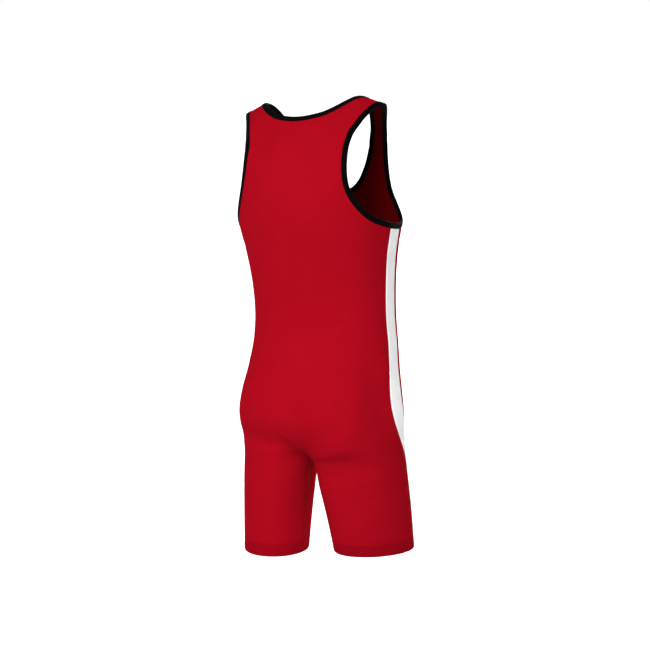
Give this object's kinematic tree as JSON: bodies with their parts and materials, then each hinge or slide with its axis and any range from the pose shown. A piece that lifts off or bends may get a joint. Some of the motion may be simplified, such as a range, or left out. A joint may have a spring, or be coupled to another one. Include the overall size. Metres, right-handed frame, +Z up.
{
  "type": "weightlifting singlet",
  "caption": "Sleeveless one-piece stretch knit suit with bound neck and armholes, plain side bands and mid-thigh legs, hollow as when worn.",
  "frame": {"origin": "midway between the shoulders, at the height of the neck ends of the shoulder seams, where the wearer's shoulders hold the straps up", "axes": "+Z up the body, the front faces -Y and the wearer's left is +X"},
  "size_m": [0.344, 0.2571, 0.8828],
  "materials": {
    "red_knit": "smooth stretch jersey with a soft sheen, red",
    "black_knit": "folded black stretch binding",
    "white_tape": "plain white stretch tape"
  },
  "bodies": {
    "root": {"back_panel": "red_knit", "front_panel": "red_knit", "neck_binding": "black_knit", "armhole_binding_left": "black_knit", "armhole_binding_right": "black_knit", "side_band_left": "white_tape", "side_band_right": "white_tape"}
  },
  "joints": []
}
